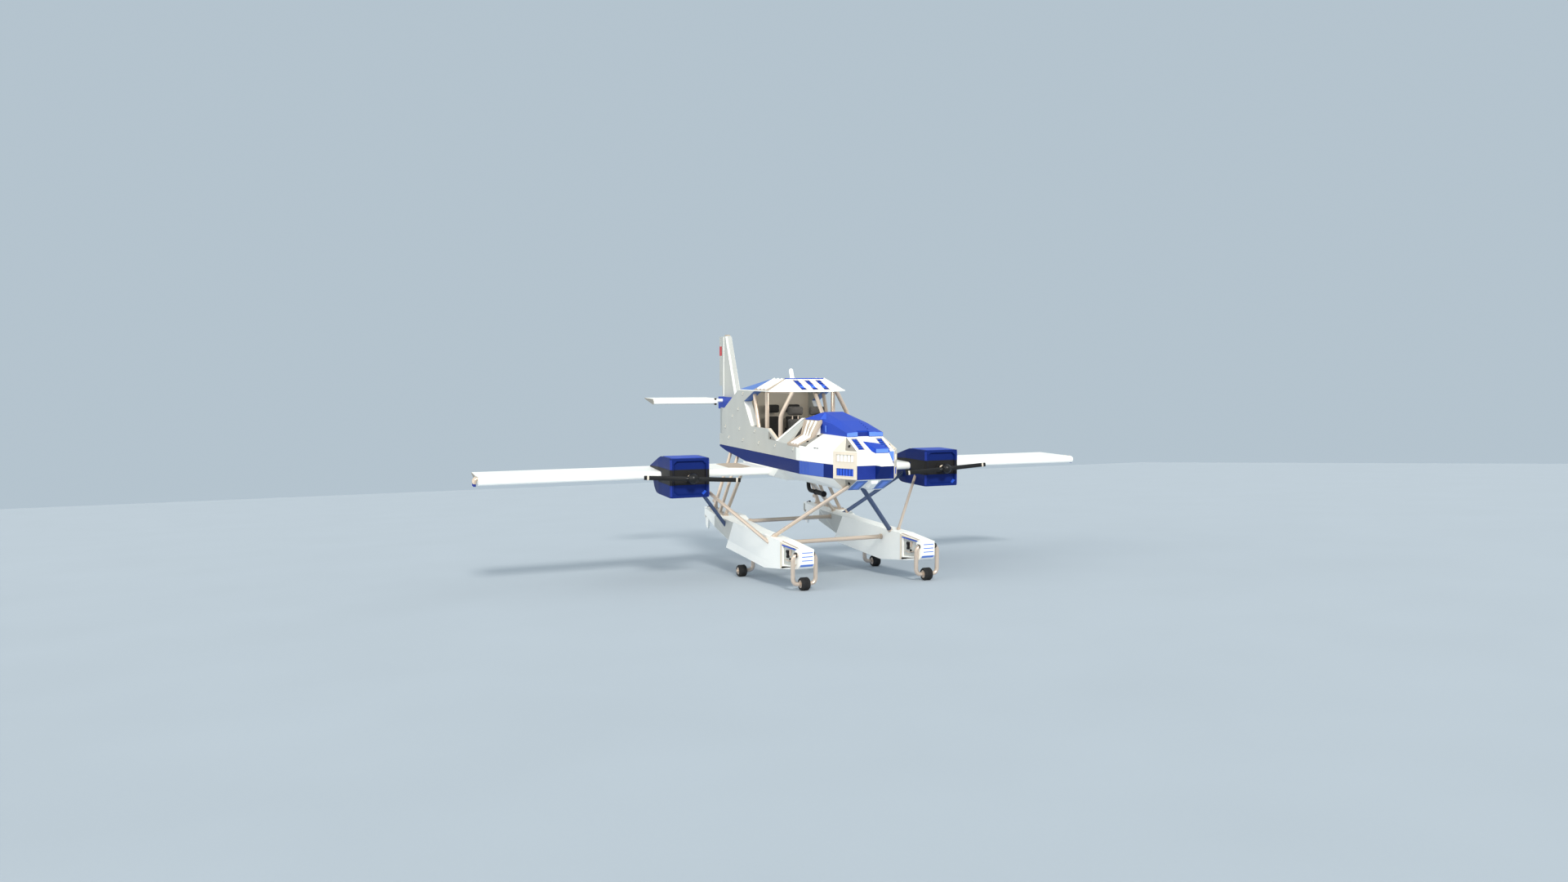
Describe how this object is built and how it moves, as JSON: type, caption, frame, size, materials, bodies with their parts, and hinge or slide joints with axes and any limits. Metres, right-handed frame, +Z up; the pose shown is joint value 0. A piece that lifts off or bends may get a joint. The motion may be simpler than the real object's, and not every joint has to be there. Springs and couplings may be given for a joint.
{
  "type": "twin-engined amphibious floatplane",
  "caption": "Low-wing amphibious floatplane with wing nacelles, an open framed cabin, twin floats with small wheels and water rudders, and a tall fin.",
  "frame": {"origin": "centre of the bounding box in X and Y, on the ground the four wheels stand on", "axes": "+X forward along the body, +Y to port, +Z up"},
  "size_m": [8.3754, 12.5, 5.1429],
  "materials": {
    "white_paint": "satin",
    "blue_paint": "satin",
    "cream_panel": "matte",
    "charcoal_panel": "satin",
    "beige_tube": "satin",
    "seat_cover": "matte",
    "engine_iron": "matte",
    "black_blade": "satin",
    "tyre": "matte"
  },
  "bodies": {
    "airframe": {"body_band": "blue_paint", "keel_fairing": "white_paint", "cabin_tub": "white_paint", "nose_block": "white_paint", "nose_hood": "blue_paint", "nose_duct": "blue_paint", "shoulder_panel_port": "beige_tube", "shoulder_panel_starboard": "beige_tube", "canopy_roof": "white_paint", "canopy_frame_port": "beige_tube", "canopy_frame_starboard": "beige_tube", "rear_post_port": "beige_tube", "rear_post_starboard": "beige_tube", "centre_strut": "beige_tube", "rear_bulkhead": "cream_panel", "instrument_panel": "charcoal_panel", "seat_front_s": "seat_cover", "seat_front_p": "seat_cover", "seat_rear_s": "seat_cover", "seat_rear_p": "seat_cover", "tail_cone": "white_paint", "tail_spine": "blue_paint", "fin": "white_paint", "wing_port": "white_paint", "wing_starboard": "white_paint", "nacelle_port": "blue_paint", "nacelle_starboard": "blue_paint", "engine_port": "engine_iron", "engine_starboard": "engine_iron", "float_port": "white_paint", "float_starboard": "white_paint", "bow_hoop_port": "beige_tube", "bow_hoop_starboard": "beige_tube", "rear_leg_port": "beige_tube", "rear_leg_starboard": "beige_tube", "cross_tube_front": "beige_tube", "cross_tube_rear": "beige_tube", "nacelle_strut_front_port": "beige_tube", "nacelle_strut_front_starboard": "beige_tube", "nacelle_strut_rear_port": "beige_tube", "nacelle_strut_rear_starboard": "beige_tube", "nose_strut_port": "beige_tube", "nose_strut_starboard": "beige_tube", "belly_strut": "beige_tube", "rear_struts_port": "beige_tube", "rear_struts_starboard": "beige_tube", "belly_pipe": "charcoal_panel"},
    "propeller_port": {"propeller_port": "black_blade"},
    "propeller_starboard": {"propeller_starboard": "black_blade"},
    "front_wheel_port": {"front_wheel_port": "tyre"},
    "front_wheel_starboard": {"front_wheel_starboard": "tyre"},
    "rear_wheel_port": {"rear_wheel_port": "tyre"},
    "rear_wheel_starboard": {"rear_wheel_starboard": "tyre"},
    "rudder": {"rudder": "white_paint"},
    "stabilator": {"stabilator": "white_paint"},
    "water_rudder_port": {"water_rudder_port": "white_paint"},
    "water_rudder_starboard": {"water_rudder_starboard": "white_paint"}
  },
  "joints": [
    {"name": "propeller_port_spin", "type": "hinge", "parent": "airframe", "child": "propeller_port", "pos_m": [1.89863, 2.61, 1.92684], "axis": [0.9968, 0, -0.0795], "continuous": true},
    {"name": "propeller_starboard_spin", "type": "hinge", "parent": "airframe", "child": "propeller_starboard", "pos_m": [1.89863, -2.61, 1.92684], "axis": [0.9968, 0, -0.0795], "continuous": true},
    {"name": "front_wheel_port_spin", "type": "hinge", "parent": "airframe", "child": "front_wheel_port", "pos_m": [3.5105, 1.187, 0.112], "axis": [0, 1, 0], "continuous": true},
    {"name": "front_wheel_starboard_spin", "type": "hinge", "parent": "airframe", "child": "front_wheel_starboard", "pos_m": [3.5105, -1.187, 0.112], "axis": [0, 1, 0], "continuous": true},
    {"name": "rear_wheel_port_spin", "type": "hinge", "parent": "airframe", "child": "rear_wheel_port", "pos_m": [1.00658, 1.426, 0.112], "axis": [0, 1, 0], "continuous": true},
    {"name": "rear_wheel_starboard_spin", "type": "hinge", "parent": "airframe", "child": "rear_wheel_starboard", "pos_m": [1.00658, -1.426, 0.112], "axis": [0, 1, 0], "continuous": true},
    {"name": "rudder_hinge", "type": "hinge", "parent": "airframe", "child": "rudder", "pos_m": [-3.73404, 0, 4.38227], "axis": [0.0795, 0, 0.9968], "range_deg": [-25, 25]},
    {"name": "stabilator_hinge", "type": "hinge", "parent": "airframe", "child": "stabilator", "pos_m": [-3.68638, 0, 3.59599], "axis": [0, 1, 0], "range_deg": [-12, 6]},
    {"name": "water_rudder_port_hinge", "type": "hinge", "parent": "airframe", "child": "water_rudder_port", "pos_m": [-1.66176, 1.17, 1.05706], "axis": [0.0795, 0, 0.9968], "range_deg": [-30, 30]},
    {"name": "water_rudder_starboard_hinge", "type": "hinge", "parent": "airframe", "child": "water_rudder_starboard", "pos_m": [-1.66176, -1.17, 1.05706], "axis": [0.0795, 0, 0.9968], "range_deg": [-30, 30]}
  ],
  "couplings": [
    {"joint": "water_rudder_starboard_hinge", "follows": "water_rudder_port_hinge", "ratio": 1}
  ]
}
